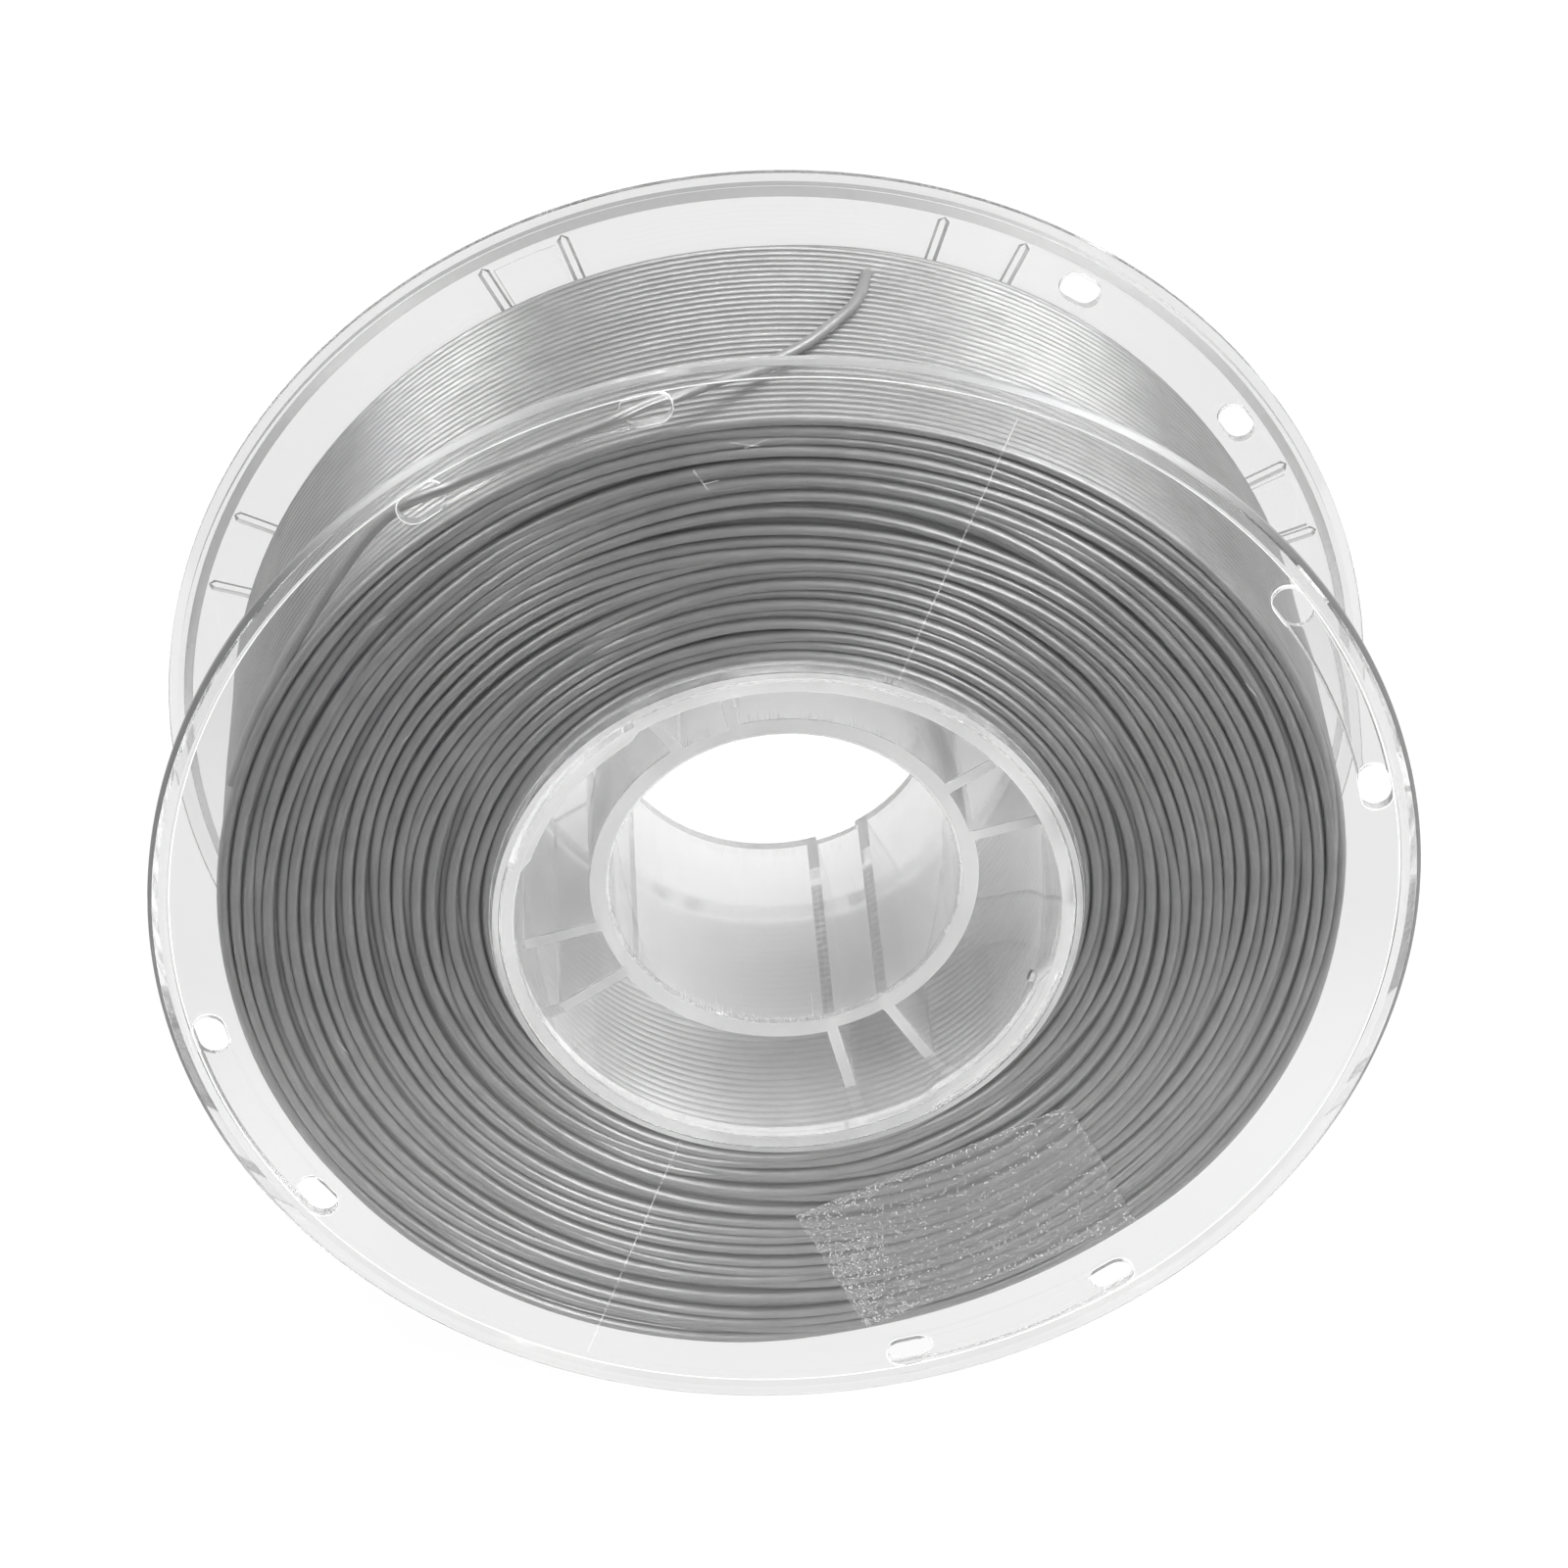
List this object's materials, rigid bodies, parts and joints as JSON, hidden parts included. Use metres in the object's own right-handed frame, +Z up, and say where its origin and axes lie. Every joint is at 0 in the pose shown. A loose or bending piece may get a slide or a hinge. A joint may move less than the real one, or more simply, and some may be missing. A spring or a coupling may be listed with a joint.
{
  "type": "filament spool",
  "caption": "Clear moulded spool with a wide bore, full of filament whose free end is parked in holes near the rim.",
  "frame": {"origin": "on the bore's axis, midway between the flanges", "axes": "+Y along the bore's axis from the front flange, which holds the parked end, to the rear flange; +Z up; +X to the right seen from the front"},
  "size_m": [0.2, 0.0624, 0.2],
  "materials": {
    "clear_plastic": "clear moulded polystyrene, polished mould",
    "frosted_plastic": "clear moulded polystyrene, part frosted",
    "filament": "extruded PLA, satin gloss",
    "tape": "clear polypropylene film tape"
  },
  "bodies": {
    "root": {"front_flange": "clear_plastic", "front_rim": "clear_plastic", "rear_flange": "clear_plastic", "drum": "frosted_plastic", "bore_tube": "frosted_plastic", "hub_ribs": "frosted_plastic", "winding_core": "filament", "outer_turns": "filament", "clear_tape": "tape"}
  },
  "joints": []
}
